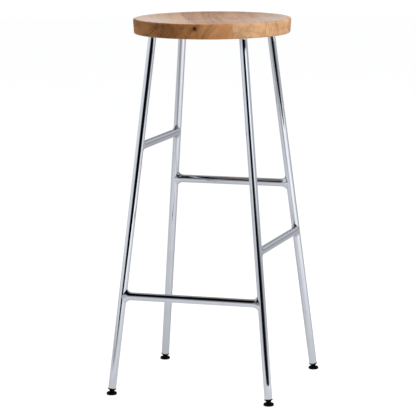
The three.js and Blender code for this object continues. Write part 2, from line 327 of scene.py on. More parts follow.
class Wiring:
    """Adds nodes to one node tree and joins them up."""

    def __init__(self, tree):
        self.tree = tree

    def feed(self, socket, value):
        if isinstance(value, bpy.types.NodeSocket):
            self.tree.links.new(value, socket)
        else:
            socket.default_value = value

    def node(self, kind, settings=None, **inputs):
        node = self.tree.nodes.new(kind)
        for name, value in (settings or {}).items():
            setattr(node, name, value)
        for name, value in inputs.items():
            self.feed(node.inputs[name.replace("_", " ")], value)
        return node

    def math(self, operation, *values, clamp=False):
        node = self.node("ShaderNodeMath", {"operation": operation, "use_clamp": clamp})
        for socket, value in zip(node.inputs, values):
            self.feed(socket, value)
        return node.outputs[0]

    def times(self, *values):
        return reduce(lambda one, two: self.math("MULTIPLY", one, two), values)

    def plus(self, *values):
        return reduce(lambda one, two: self.math("ADD", one, two), values)

    def scaled(self, value, by, offset):
        return self.math("MULTIPLY_ADD", value, by, offset)

    def less(self, value, mask, share):
        """The value with a share of it taken off where the mask is one."""
        return self.times(value, self.math("SUBTRACT", 1.0, self.times(mask, share)))

    def centred(self, value):
        return self.math("SUBTRACT", value, 0.5)

    def fall(self, value, low, high):
        """One below the span and nought above it."""
        return self.span(value, low, high, 1.0, 0.0)

    def split(self, vector):
        return self.node("ShaderNodeSeparateXYZ", Vector=vector).outputs

    def distance(self, vector):
        node = self.node("ShaderNodeVectorMath", {"operation": "LENGTH"})
        self.feed(node.inputs[0], vector)
        return node.outputs["Value"]

    def bump(self, height, strength, distance):
        return self.node(
            "ShaderNodeBump", Strength=strength, Distance=distance, Height=height).outputs[0]

    def span(self, value, low, high, to_low=0.0, to_high=1.0, kind="SMOOTHSTEP"):
        """Maps a value from one span to another, held at both ends."""
        node = self.node("ShaderNodeMapRange", {"interpolation_type": kind, "clamp": True})
        for socket, number in zip(node.inputs, (value, low, high, to_low, to_high)):
            self.feed(socket, number)
        return node.outputs[0]

    def mix(self, share, first, second):
        node = self.node("ShaderNodeMix", {"data_type": "RGBA"})
        for index, value in ((0, share), (6, first), (7, second)):
            if not isinstance(value, bpy.types.NodeSocket) and index:
                value = (*value, 1.0)
            self.feed(node.inputs[index], value)
        return node.outputs[2]

    def noise(self, vector, scale, detail=3.0, roughness=0.5, distortion=0.0):
        node = self.node(
            "ShaderNodeTexNoise", Vector=vector, Scale=scale, Detail=detail,
            Roughness=roughness, Distortion=distortion)
        return node.outputs["Fac"]

    def mapping(self, vector, location=(0, 0, 0), rotation=(0, 0, 0), scale=(1, 1, 1)):
        return self.node(
            "ShaderNodeMapping", Vector=vector, Location=location, Rotation=rotation,
            Scale=scale).outputs[0]

    def group(self, tree, **inputs):
        node = self.node("ShaderNodeGroup", {"node_tree": tree})
        for name, value in inputs.items():
            self.feed(node.inputs[name.replace("_", " ")], value)
        return node.outputs


def node_group(name, inputs, outputs):
    """Turns a function that fills a shader node group into one that gives the group, made once."""
    def wrap(fill):
        def group():
            if name in bpy.data.node_groups:
                return bpy.data.node_groups[name]
            tree = bpy.data.node_groups.new(name, "ShaderNodeTree")
            for direction, sockets in (("INPUT", inputs), ("OUTPUT", outputs)):
                for socket in sockets:
                    kind = "NodeSocketVector" if socket == "Vector" else "NodeSocketFloat"
                    tree.interface.new_socket(socket, in_out=direction, socket_type=kind)
            w = Wiring(tree)
            source = tree.nodes.new("NodeGroupInput").outputs
            sink = tree.nodes.new("NodeGroupOutput").inputs
            for socket, value in zip(outputs, fill(w, *(source[socket] for socket in inputs))):
                w.feed(sink[socket], value)
            return tree
        return group
    return wrap


@node_group("Growth rings", ("Vector", "Ring Width", "Wobble"), ("Line", "Tone"))
def growth_rings(w, place, ring_width, wobble):
    """Growth rings round a pith that runs along Y through the origin."""
    across, _, up = w.split(place)
    radius = w.math("SQRT", w.plus(w.times(across, across), w.times(up, up)))
    slow = w.noise(w.mapping(place, scale=(1, 0.12, 1)), 28.0, detail=2.0)
    fine = w.noise(w.mapping(place, scale=(1, 0.05, 1)), 170.0, detail=2.0)
    shift = w.plus(w.times(w.centred(slow), wobble), w.times(w.centred(fine), 0.0022))
    count = w.math("DIVIDE", w.plus(radius, shift), ring_width)
    through = w.math("FRACT", count)
    line = w.math("MAXIMUM", w.fall(through, 0.0, 0.62), w.span(through, 0.92, 1.0))
    year = w.node("ShaderNodeTexWhiteNoise", {"noise_dimensions": "1D"},
                  W=w.math("FLOOR", count)).outputs["Value"]
    band = w.node("ShaderNodeTexNoise", {"noise_dimensions": "1D"},
                  W=w.times(count, 0.30), Scale=1.0, Detail=1.0).outputs["Fac"]
    tone = w.plus(w.times(year, 0.4), w.span(band, 0.3, 0.7, 0.0, 0.6, kind="LINEAR"))
    return line, tone


@node_group("Wood fibres", ("Vector",), ("Fibre", "Pores", "Cloud", "Streak"))
def wood_fibres(w, place):
    """Fine fibres, open pores, clouds and streaks in wood whose grain runs along Y."""
    fibre = w.noise(w.mapping(place, scale=(1, 0.035, 1)), 900.0, detail=4.0, roughness=0.6)
    pores = w.noise(w.mapping(place, scale=(1, 0.06, 1)), 1500.0, detail=1.0)
    cloud = w.noise(w.mapping(place, scale=(1, 0.3, 1)), 32.0)
    streak = w.noise(w.mapping(place, scale=(1, 0.07, 1)), 130.0)
    return fibre, w.span(pores, 0.62, 0.74), cloud, streak


@node_group("Surface marks", ("Vector", "Scale"), ("Smudge", "Specks", "Wave"))
def surface_marks(w, place, scale):
    """Handling marks, fine specks and a slow waviness on a smooth hard surface."""
    smudge = w.noise(place, scale, detail=5.0, roughness=0.62, distortion=0.6)
    specks = w.noise(place, w.times(scale, 40.0), detail=1.0)
    wave = w.noise(place, w.times(scale, 0.8), detail=1.0)
    return w.span(smudge, 0.40, 0.72), w.span(specks, 0.66, 0.80), wave


def start_material(name):
    """A new material with its wiring, its shader and its object coordinates."""
    material = bpy.data.materials.new(name)
    material.use_nodes = True
    wiring = Wiring(material.node_tree)
    shader = material.node_tree.nodes["Principled BSDF"]
    place = wiring.node("ShaderNodeTexCoord").outputs["Object"]
    return material, wiring, shader, place


def hard_material(name, marks_scale, colours, roughness, bump, **constants):
    """A smooth hard material with handling marks, made once.

    The colours are clean and smudged. The roughness is the least, then what smudges and specks
    add. The bump is the mark that stands up, its strength and its height.
    """
    if name in bpy.data.materials:
        return bpy.data.materials[name]
    material, w, shader, place = start_material(name)
    marks = w.group(surface_marks(), Vector=place, Scale=marks_scale)
    least, smudged, specked = roughness
    mark, strength, height = bump
    w.feed(shader.inputs["Base Color"], w.mix(marks["Smudge"], *colours))
    w.feed(shader.inputs["Roughness"], w.plus(
        w.times(marks["Smudge"], smudged), w.scaled(marks["Specks"], specked, least)))
    w.feed(shader.inputs["Normal"], w.bump(marks[mark], strength, height))
    for socket, value in constants.items():
        shader.inputs[socket.replace("_", " ")].default_value = value
    return material


def chrome_material():
    plating = Vector(bpy.context.scene.stool_frame.chrome)
    return hard_material(
        "Bright chrome", 26.0, (plating, plating * 0.95), (0.035, 0.035, 0.05),
        ("Wave", 0.25, 0.0001), Metallic=1.0)


def zinc_material():
    plating = Vector(bpy.context.scene.stool_frame.zinc)
    smudged = (plating.x * 0.80, plating.y * 0.80, plating.z * 0.86)
    return hard_material(
        "Zinc plating", 240.0, (plating, smudged), (0.26, 0.18, 0.0),
        ("Specks", 0.3, 0.00005), Metallic=1.0)


def plastic_material():
    moulded = Vector(bpy.context.scene.stool_glides.plastic)
    return hard_material(
        "Moulded plastic", 150.0, (moulded, moulded * 1.9), (0.20, 0.14, 0.0),
        ("Specks", 0.25, 0.00004), Specular_IOR_Level=0.0, Coat_Weight=0.14, Coat_Roughness=0.14)


# Each stave's own log: where its pith runs, across and above the seat's middle, how far the pith
# tips out of the stave's line, the width of a year's growth, how strong and how dark the figure is,
# how ripe the wood is on the top and on the side, and how much darker its end grain is at the
# stave's left and right flanks. The side's ripeness and the end grain numbers also paint light and
# shade on the seat's side. At the left staves there is painted shade, darker and riper. At the right
# staves there is painted light and sheen, paler and lighter, where the end numbers fall below nought
STAVE_LOGS = {
    1: {"pith": (-0.050, 0.650), "tip": (1.2, -0.8), "ring": 0.0046, "figure": 1.2, "dark": -0.03,
        "ripe": (0.22, 0.98), "end": (0.26, 0.34)},
    2: {"pith": (0.010, 0.655), "tip": (-1.6, 0.9), "ring": 0.0040, "figure": 1.2, "dark": -0.03,
        "ripe": (0.25, 1.00), "end": (0.48, 0.19)},
    3: {"pith": (0.090, 0.680), "tip": (2.2, 1.5), "ring": 0.0036, "figure": 2.2, "dark": 0.24,
        "ripe": (0.85, 0.80), "end": (0.00, -0.24)},
    4: {"pith": (0.060, 0.650), "tip": (1.3, -1.1), "ring": 0.0030, "figure": 1.0, "dark": 0.18,
        "ripe": (0.60, 0.10), "end": (-0.15, -0.19)},
    5: {"pith": (-0.060, 0.700), "tip": (-1.0, 0.7), "ring": 0.0044, "figure": 1.0, "dark": 0.20,
        "ripe": (0.55, 0.10), "end": (-0.20, -0.04)},
}
KNOT_STAVE = 2
KNOT_SIZE = 0.0056
KNOT_TURN = math.radians(-84.3)
KNOT_DROP = 0.0090  # below the seat's top


def glue_planes():
    """Where the four glue lines lie across the seat, from left to right."""
    sizes = bpy.context.scene.stool_seat
    first = sizes.left_stave - SEAT_RADIUS
    last = SEAT_RADIUS - sizes.right_stave
    between = len(STAVE_NUMBERS) - 2
    return [first + (last - first) * step / between for step in range(between + 1)]


def oak_material(number):
    """Lacquered oak, cut from its own log for each stave."""
    sizes = bpy.context.scene.stool_seat
    log = STAVE_LOGS[number]
    material, w, shader, place = start_material(f"Lacquered oak {number}")
    board = w.mapping(place, rotation=(0, 0, -sizes.stave_turn))
    across, height = log["pith"]
    tip, swing = (math.radians(angle) for angle in log["tip"])
    from_pith = w.mapping(
        w.mapping(board, location=(-across, 0.31 * number, -height)), rotation=(tip, 0, swing))
    rings = w.group(growth_rings(), Vector=from_pith, Ring_Width=log["ring"], Wobble=0.012)
    fibres = w.group(wood_fibres(), Vector=w.mapping(board, location=(0.17 * number, 0, 0)))
    light, ripe, dark, pore = (
        Vector(colour) for colour in (sizes.oak_light, sizes.oak_ripe, sizes.oak_dark, sizes.oak_pore))
    radius, side, end_grain = seat_side(w, board)
    # The side's colour is partly painted light: painted shade, riper and darker, at the left staves and
    # painted sheen, paler, at the right staves.
    pale = w.mix(side, *(light.lerp(ripe, amount) for amount in log["ripe"]))
    across_grain = w.split(board)[0]
    ring_share = w.times(
        rings["Line"], w.scaled(rings["Tone"], 0.40 * log["figure"], 0.04), w.scaled(side, 0.5, 0.5))
    share = w.plus(
        ring_share,
        w.scaled(rings["Tone"], 0.24, log["dark"] - 0.12),
        w.span(fibres["Cloud"], 0.3, 0.7, -0.18, 0.26, kind="LINEAR"),
        w.span(fibres["Streak"], 0.3, 0.7, -0.16, 0.16, kind="LINEAR"),
        w.times(w.centred(fibres["Fibre"]), 1.2))
    flanks = (-SEAT_RADIUS, *glue_planes(), SEAT_RADIUS)[number - 1:number + 1]
    # End grain darker by its own colour, with painted shade added at the left staves; below nought the
    # end grain is painted lighter, as painted light at the right staves.
    end_grain_and_painted_light = w.span(across_grain, *flanks, *log["end"], kind="LINEAR")
    share = w.math("MULTIPLY_ADD", end_grain, end_grain_and_painted_light, share, clamp=True)
    colour = w.mix(share, pale, dark)
    colour = w.mix(w.times(fibres["Pores"], w.scaled(rings["Line"], 0.45, 0.12)), colour, pore)
    for plane in glue_planes():
        near = w.math("ABSOLUTE", w.math("SUBTRACT", across_grain, plane))
        colour = w.mix(w.span(near, 0.00008, 0.00040, 0.60, 0.0), colour, dark * 0.6)
    if number == KNOT_STAVE:
        colour = knot(w, place, colour, pore)
    w.feed(shader.inputs["Base Color"], colour)
    w.feed(shader.inputs["Roughness"], w.scaled(w.plus(fibres["Fibre"], fibres["Pores"]), 0.16, 0.30))
    relief = w.math("SUBTRACT", w.times(fibres["Fibre"], 0.35),
                    w.plus(fibres["Pores"], w.times(rings["Line"], 0.25)))
    w.feed(shader.inputs["Normal"], w.bump(relief, 0.35, 0.00012))
    worn = w.span(radius, 0.05, 0.14, 0.46, 0.76)
    w.feed(shader.inputs["Coat Weight"], w.times(worn, w.scaled(side, -0.84, 1.0)))
    shader.inputs["Specular IOR Level"].default_value = 0.0
    shader.inputs["Coat Roughness"].default_value = 0.12
    return material


def seat_side(w, board):
    """The distance from the middle, where the side is and how far it cuts across the grain."""
    across, along, _ = w.split(board)
    radius = w.distance(w.node("ShaderNodeCombineXYZ", X=across, Y=along).outputs[0])
    side = w.span(radius, SEAT_RADIUS - 0.0040, SEAT_RADIUS - 0.0016)
    facing = w.span(w.math("DIVIDE", w.math("ABSOLUTE", along), radius), 0.35, 0.85)
    return radius, side, w.times(side, facing)


def knot(w, place, colour, pore):
    """A small dark knot that comes out of the front of the seat's edge."""
    drawn = w.mapping(place, location=-knot_place())
    wander = w.centred(w.noise(place, 260.0, detail=2.0))
    away = w.plus(w.distance(w.mapping(drawn, scale=(1.0, 0.35, 1.25))), w.times(wander, 0.004))
    halo = w.span(away, KNOT_SIZE * 0.6, KNOT_SIZE * 2.6, 0.50, 0.0)
    heart_share = w.span(away, KNOT_SIZE * 0.45, KNOT_SIZE * 1.05, 0.95, 0.0)
    browned = w.mix(halo, colour, pore * 1.9)
    return w.mix(heart_share, browned, pore * 0.9)


def knot_place():
    """On the seat's side, a little way round from the front, just under the upper edge."""
    across, along = math.cos(KNOT_TURN), math.sin(KNOT_TURN)
    return Vector((across * SEAT_RADIUS, along * SEAT_RADIUS, SEAT_TOP - KNOT_DROP))


# ---------------------------------------------------------------------------
# Shapes


def seat_blank():
    """The whole seat turned in one piece: flat underside, tapered side, rounded rim and dish."""
    sizes = bpy.context.scene.stool_seat
    bm = bmesh.new()
    lower, upper = sizes.bottom_round, sizes.top_round
    lower_centre = (SEAT_RADIUS - sizes.side_taper - lower, UNDERSIDE + lower)
    upper_centre = (SEAT_RADIUS - upper, SEAT_TOP - upper)
    rise = upper_centre[1] - lower_centre[1]
    lean = math.atan2(sizes.side_taper, rise)
    draw = Outline(bm, 0, UNDERSIDE)
    draw.line(lower_centre[0] - 0.002, UNDERSIDE, 3).line(lower_centre[0], UNDERSIDE)
    draw.arc(*lower_centre, math.pi / 2 - lean, 6)
    side_top = (upper_centre[0] + upper * math.cos(lean), upper_centre[1] - upper * math.sin(lean))
    draw.line(*side_top, 6)
    draw.arc(*upper_centre, math.pi / 2 + lean, 8)
    flat_end = SEAT_RADIUS - sizes.rim_width
    draw.line(flat_end, SEAT_TOP, 2)
    dish_end = flat_end - sizes.rim_blend
    slope = 2 * sizes.dish_depth / flat_end
    blend_radius = sizes.rim_blend / math.sin(slope)
    draw.arc(flat_end, SEAT_TOP - blend_radius, slope, 5)
    dish_radius = dish_end / math.sin(slope)
    draw.arc(0, draw.tip.co.z + dish_radius * math.cos(slope), -slope, 14)
    turn_round(bm, steps=240)
    return mesh_from(bm)


def screw_places():
    """The name and place of each screw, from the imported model."""
    places = {}
    for corner in CORNERS:
        for ring in ("inner", "outer"):
            low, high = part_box(f"screw_{corner}_{ring}")
            middle = (low + high) / 2
            places[f"{corner}_{ring}"] = Vector((middle.x, middle.y, UNDERSIDE))
    return places


def screw_box_height():
    """How far a screw reaches above and below the underside of the seat."""
    low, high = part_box("screw_front_right_outer")
    return high.z - UNDERSIDE, UNDERSIDE - low.z


def pilot_rods():
    """Pointed rods where the screws go, joined in one mesh for drilling."""
    above, _ = screw_box_height()
    radius = THREAD_RADIUS + FIT_GAP
    below = -0.002
    bm = bmesh.new()
    for place in screw_places().values():
        rod = bmesh.new()
        draw = Outline(rod, 0, below)
        draw.line(radius, below).line(radius, above - SCREW_POINT).line(0, above + FIT_GAP)
        turn_round(rod, steps=32)
        bmesh.ops.translate(rod, verts=rod.verts[:], vec=place)
        mesh = mesh_from(rod)
        bm.from_mesh(mesh)
        bpy.data.meshes.remove(mesh)
    return mesh_from(bm)


def cross_shape(margin, low, high):
    """Four round-ended arms from the middle out to the legs, between two heights."""
    sizes = bpy.context.scene.stool_frame
    half = sizes.arm_width / 2 + margin
    reach = leg_offset(UNDERSIDE, sizes.tube_diameter / 2) * math.sqrt(2)
    bm = bmesh.new()
    draw = Outline(bm, half, half)
    draw.line(reach, half, 8).arc(reach, 0, -math.pi, 24).line(half, -half, 8)
    bmesh.ops.rotate(
        bm, verts=bm.verts[:], cent=(0, 0, 0), matrix=Matrix.Rotation(-math.pi / 2, 3, "X"))
    quarter = Matrix.Rotation(math.pi / 2, 3, "Z")
    arm = bm.verts[:] + bm.edges[:]
    for _ in range(3):
        copied = bmesh.ops.duplicate(bm, geom=arm)["geom"]
        bmesh.ops.rotate(bm, verts=only(BMVert, copied), cent=(0, 0, 0), matrix=quarter)
        arm = copied
    bmesh.ops.remove_doubles(bm, verts=bm.verts[:], dist=1e-6)
    bmesh.ops.contextual_create(bm, geom=bm.edges[:])
    raised = bmesh.ops.extrude_face_region(bm, geom=bm.faces[:])["geom"]
    bmesh.ops.translate(bm, verts=only(BMVert, raised), vec=(0, 0, high - low))
    bmesh.ops.translate(bm, verts=bm.verts[:], vec=(0, 0, low))
    bmesh.ops.rotate(
        bm, verts=bm.verts[:], cent=(0, 0, 0), matrix=Matrix.Rotation(math.pi / 4, 3, "Z"))
    bmesh.ops.recalc_face_normals(bm, faces=bm.faces[:])
    return bm


def leg_placing(corner, tube_radius):
    """Turns a piece drawn upright on the origin onto a leg's axis, from the ball's centre."""
    direction = leg_direction(corner, tube_radius)
    turn = Vector((0, 0, 1)).rotation_difference(direction).to_matrix().to_4x4()
    return Matrix.Translation(BALLS[corner]) @ turn


# ---------------------------------------------------------------------------
# Operators


class STOOL_OT_seat(bpy.types.Operator):
    """Build the five oak staves of the seat"""

    bl_idname = "stool.seat"
    bl_label = "Seat staves"

    def execute(self, context):
        sizes = context.scene.stool_seat
        blank = seat_blank()
        pocket = mesh_from(cross_shape(FIT_GAP, UNDERSIDE - 0.001, PLATE_HIGH.z + FIT_GAP))
        rods = pilot_rods()
        across = Vector((math.cos(sizes.stave_turn), math.sin(sizes.stave_turn), 0))
        planes = glue_planes()
        gap = sizes.glue_line / 2
        for number in STAVE_NUMBERS:
            bm = bmesh.new()
            bm.from_mesh(blank)
            cuts = []
            if number > 1:
                cuts.append((planes[number - 2] + gap, -across))
            if number < len(STAVE_NUMBERS):
                cuts.append((planes[number - 1] - gap, across))
            for place, outwards in cuts:
                bmesh.ops.contextual_create(bm, geom=cut_off(bm, across * place, outwards))
            clean(bm)
            stave = cut_away(mesh_from(bm), pocket, rods)
            finish_piece(stave, f"oak_stave_{number}", [f"seat_stave_{number}"],
                         oak_material(number))
        return {"FINISHED"}


class STOOL_OT_cross(bpy.types.Operator):
    """Build the mounting cross that is let into the seat"""

    bl_idname = "stool.cross"
    bl_label = "Mounting cross"

    def execute(self, context):
        rounding, sharp = 0.0004, 0.8
        bm = cross_shape(0.0, PLATE_LOW.z, PLATE_HIGH.z)
        edges = [edge for edge in bm.edges if edge.is_manifold and edge.calc_face_angle() > sharp]
        bmesh.ops.bevel(
            bm, geom=edges, offset=rounding, offset_type="OFFSET", segments=2, profile=0.5,
            affect="EDGES", material=-1, clamp_overlap=True)
        plate = cut_away(mesh_from(bm), pilot_rods())
        finish_piece(plate, "steel_cross", ["mounting_cross"], chrome_material())
        return {"FINISHED"}


class STOOL_OT_screws(bpy.types.Operator):
    """Build the eight wood screws that hold the cross"""

    bl_idname = "stool.screws"
    bl_label = "Screws"

    def execute(self, context):
        blank = cut_away(self.turned_blank(), *self.recess_blades())
        threaded = combine(blank, "UNION", self.thread())
        for name, place in screw_places().items():
            screw = threaded.copy()
            screw.transform(Matrix.Translation(place))
            finish_piece(screw, f"wood_screw_{name}", [f"screw_{name}"],
                         zinc_material())
        return {"FINISHED"}

    def turned_blank(self):
        """The pan head and the pointed shank, with the seat's underside at height nought."""
        above, below = screw_box_height()
        flat, dome, dome_height, head = 0.0016, 0.0024, 0.0021, 0.0045
        bm = bmesh.new()
        draw = Outline(bm, 0, -below)
        draw.line(flat, -below)
        draw.arc(flat, dome - below, math.radians(74), 8)
        draw.line(head, dome_height - below).line(head, -FIT_GAP).line(SCREW_CORE, -FIT_GAP)
        draw.line(SCREW_CORE, above - SCREW_POINT, 6).line(0, above)
        turn_round(bm, steps=48)
        return mesh_from(bm)

    def thread(self):
        """A helical ridge that winds round the shank and runs out at both ends."""
        pitch, turns, steps_in_turn = 0.0020, 6, 24
        start, rise, width = 0.0018, 0.0020, 0.0009
        root = SCREW_CORE - FIT_GAP
        steps = turns * steps_in_turn
        ridge = bmesh.new()
        draw = Outline(ridge, root, 0)
        draw.line(THREAD_RADIUS, width / 2).line(root, width).close()
        bmesh.ops.contextual_create(ridge, geom=ridge.edges[:])
        bmesh.ops.spin(
            ridge, geom=ridge.faces[:], cent=(0, 0, 0), axis=(0, 0, 1),
            angle=turns * math.tau, steps=steps, dvec=(0, 0, turns * pitch / steps))
        bmesh.ops.translate(ridge, verts=ridge.verts[:], vec=(0, 0, start))
        top = start + turns * pitch + width
        for vert in ridge.verts:
            share = min((vert.co.z - start) / rise, (top - vert.co.z) / (1.5 * rise), 1.0)
            out = math.hypot(vert.co.x, vert.co.y)
            if out > root:
                slim = (root + (out - root) * max(share, 0.05)) / out
                vert.co.x *= slim
                vert.co.y *= slim
        bmesh.ops.recalc_face_normals(ridge, faces=ridge.faces[:])
        return mesh_from(ridge)

    def recess_blades(self):
        """The two tapered blades of a cross recess for a screwdriver."""
        _, below = screw_box_height()
        length, width, depth, middle = 0.0050, 0.0010, 0.0022, 0.0007 - below
        first_turn = 0.4
        blades = []
        for turn in (first_turn, first_turn + math.pi / 2):
            bm = bmesh.new()
            verts = bmesh.ops.create_cube(bm, size=1)["verts"]
            bmesh.ops.scale(bm, verts=verts, vec=(length, width, depth))
            inner = [vert for vert in verts if vert.co.z > 0]
            bmesh.ops.scale(bm, verts=inner, vec=(0.35, 0.7, 1))
            placing = Matrix.Translation((0, 0, middle)) @ Matrix.Rotation(turn, 4, "Z")
            bmesh.ops.transform(bm, verts=verts, matrix=placing, space=Matrix())
            bmesh.ops.recalc_face_normals(bm, faces=bm.faces[:])
            blades.append(mesh_from(bm))
        return blades


class STOOL_OT_legs(bpy.types.Operator):
    """Build the four splayed tube legs"""

    bl_idname = "stool.legs"
    bl_label = "Legs"

    def execute(self, context):
        sizes = context.scene.stool_frame
        outside = sizes.tube_diameter / 2
        inside = outside - sizes.tube_wall
        edge, start, weld_gap = 0.0003, 0.0080, 0.00003
        top = PLATE_LOW.z - weld_gap
        for corner in CORNERS:
            length = (top - BALLS[corner].z) * 1.05
            bm = bmesh.new()
            draw = Outline(bm, inside, start + edge)
            draw.arc(inside + edge, start + edge, math.pi / 2, 3)
            draw.line(outside - edge, start)
            draw.arc(outside - edge, start + edge, math.pi / 2, 3)
            draw.line(outside, length, 24).line(inside, length)
            draw.line(inside, start + edge, 24)
            turn_round(bm, steps=STEPS_ROUND)
            bmesh.ops.transform(
                bm, verts=bm.verts[:], matrix=leg_placing(corner, outside), space=Matrix())
            wall = cut_off(bm, (0, 0, top), (0, 0, 1))
            bmesh.ops.bridge_loops(bm, edges=wall)
            self.weld(bm, corner, top, outside, sizes.weld_size)
            clean(bm)
            finish_piece(mesh_from(bm), f"chrome_leg_{corner}", [f"leg_{corner}"],
                         chrome_material())
        return {"FINISHED"}

    def weld(self, bm, corner, top, outside, size):
        """Draws the top of the tube out into a fillet weld."""
        for share in (1.0, 0.6, 0.3):
            bmesh.ops.bisect_plane(
                bm, geom=bm.verts[:] + bm.edges[:] + bm.faces[:], dist=SAME_PLACE,
                plane_co=(0, 0, top - size * share), plane_no=(0, 0, 1))
        side = corner_side(corner)
        middle = side * leg_offset(top, outside) + Vector((0, 0, top))
        for vert in bm.verts:
            below = top - vert.co.z
            if below > size * 0.999:
                continue
            out = vert.co - middle - side * leg_slope(outside) * below
            out.z = 0
            if out.length > outside * 0.97:
                wide = size * (1 - math.sqrt(max(0.0, 1 - (1 - below / size) ** 2)))
                vert.co += out.normalized() * wide


class STOOL_OT_rungs(bpy.types.Operator):
    """Build the four footrest rungs with their trumpet ends"""

    bl_idname = "stool.rungs"
    bl_label = "Rungs"

    def execute(self, context):
        sizes = context.scene.stool_frame
        outside = sizes.tube_diameter / 2
        slope = leg_slope(outside)
        for side, turn in RUNG_TURNS.items():
            low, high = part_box(f"rung_{side}")
            height = (low.z + high.z) / 2
            offset = leg_offset(height, outside)
            bm = self.trumpet_tube(offset, outside)
            self.lean(bm, offset, outside, slope)
            bmesh.ops.recalc_face_normals(bm, faces=bm.faces[:])
            tube = cut_away(mesh_from(bm), self.leg_rods(offset, outside, slope))
            tube.transform(Matrix.Rotation(math.radians(turn), 4, "Z")
                           @ Matrix.Translation((0, -offset, height)))
            finish_piece(tube, f"chrome_rung_{side}", [f"rung_{side}"],
                         chrome_material())
        return {"FINISHED"}

    def flare(self, outside):
        """The flare's reach along the rung, its start and its centre's height, from the leg's axis."""
        sizes = bpy.context.scene.stool_frame
        reach = math.sqrt(sizes.flare_radius ** 2 - (sizes.flare_radius - sizes.flare_rise) ** 2)
        return reach, outside + sizes.saddle_gap + reach, outside + sizes.flare_radius

    def trumpet_tube(self, offset, outside):
        """A straight tube along X whose ends open like trumpets, as far as the legs' axes."""
        sizes = bpy.context.scene.stool_frame
        reach, start, centre = self.flare(outside)
        inner_radius = sizes.flare_radius + sizes.tube_wall
        opening = math.asin(reach / sizes.flare_radius)
        inner_opening = math.asin(reach / inner_radius)
        bend = offset - start
        lip = centre - math.sqrt(sizes.flare_radius ** 2 - reach ** 2)
        inner_lip = centre - math.sqrt(inner_radius ** 2 - reach ** 2)
        inside = outside - sizes.tube_wall
        bm = bmesh.new()
        draw = Outline(bm, -offset, lip)
        draw.line(-bend - reach, lip, 3)
        draw.arc(-bend, centre, opening, 14)
        draw.line(bend, outside, 30)
        draw.arc(bend, centre, opening, 14)
        draw.line(offset, lip, 3).line(offset, inner_lip).line(bend + reach, inner_lip, 3)
        draw.arc(bend, centre, -inner_opening, 14)
        draw.line(-bend, inside, 30)
        draw.arc(-bend, centre, -inner_opening, 14)
        draw.line(-offset, inner_lip, 3).close()
        turn_round(bm, axis=(1, 0, 0), steps=STEPS_ROUND)
        return bm

    def lean(self, bm, offset, outside, slope):
        """Keeps the trumpets as narrow as the tube and tips their mouths in line with the legs."""
        sizes = bpy.context.scene.stool_frame
        reach, start, centre = self.flare(outside)
        for vert in bm.verts:
            place = vert.co
            along = min(max(start - (offset - abs(place.x)), 0.0), reach)
            tall = centre - math.sqrt(sizes.flare_radius ** 2 - along ** 2)
            flared = (tall - outside) / sizes.flare_rise
            vert.co = Vector((
                place.x - math.copysign(slope, place.x) * place.z * min(1.0, abs(place.x) / 0.02),
                place.y * outside / tall + slope * place.z * flared,
                place.z))

    def leg_rods(self, offset, outside, slope):
        """Both legs as solid rods, with the saddle's gap round them."""
        gap = bpy.context.scene.stool_frame.saddle_gap
        bm = bmesh.new()
        for end in (-1, 1):
            rod = bmesh.ops.create_cone(
                bm, cap_ends=True, segments=STEPS_ROUND, radius1=outside + gap,
                radius2=outside + gap, depth=0.08)["verts"]
            direction = Vector((-end * slope, slope, 1)).normalized()
            turn = Vector((0, 0, 1)).rotation_difference(direction).to_matrix()
            bmesh.ops.rotate(bm, verts=rod, cent=(0, 0, 0), matrix=turn)
            bmesh.ops.translate(bm, verts=rod, vec=(end * offset, 0, 0))
        return mesh_from(bm)


class STOOL_OT_plugs(bpy.types.Operator):
    """Build the four plastic plugs with their collars, skirts and balls"""

    bl_idname = "stool.plugs"
    bl_label = "Glide plugs"

    def execute(self, context):
        sizes = context.scene.stool_glides
        tube = context.scene.stool_frame
        ball = sizes.ball_diameter / 2
        neck, roof, hem, under, over = 0.0020, 0.0055, 0.00285, 0.00595, 0.00795
        waist, collar = sizes.waist_diameter / 2, sizes.collar_diameter / 2
        core = tube.tube_diameter / 2 - tube.tube_wall - FIT_GAP
        length, round_off, fillet, chamfer = 0.01795, 0.0015, 0.0003, 0.0001
        for corner in CORNERS:
            bm = bmesh.new()
            draw = Outline(bm, 0, -ball)
            draw.arc(0, 0, math.pi / 2 + math.acos(neck / ball), 20)
            draw.line(neck, math.sqrt(roof ** 2 - neck ** 2))
            draw.arc(0, 0, math.asin(hem / roof) - math.acos(neck / roof), 14)
            draw.line(waist - chamfer, hem).line(waist, hem + chamfer)
            self.skirt(draw, collar - fillet, under)
            draw.arc(collar - fillet, under + fillet, math.pi / 2, 4)
            draw.line(collar, over - fillet)
            draw.arc(collar - fillet, over - fillet, math.pi / 2, 4)
            draw.line(core, over).line(core, over + length - round_off, 4)
            draw.line(core - round_off, over + length).line(0, over + length)
            turn_round(bm, steps=72)
            bmesh.ops.transform(
                bm, verts=bm.verts[:], space=Matrix(),
                matrix=leg_placing(corner, tube.tube_diameter / 2))
            finish_piece(mesh_from(bm), f"glide_plug_{corner}", [f"glide_insert_{corner}"],
                         plastic_material())
        return {"FINISHED"}

    def skirt(self, draw, edge, under):
        """The hollow curve from the waist out to the collar's edge."""
        start = draw.tip.co.copy()
        steps = 16
        for step in range(1, steps + 1):
            angle = math.pi / 2 * step / steps
            draw.line(start.x + (edge - start.x) * (1 - math.cos(angle)),
                      start.z + (under - start.z) * math.sin(angle))


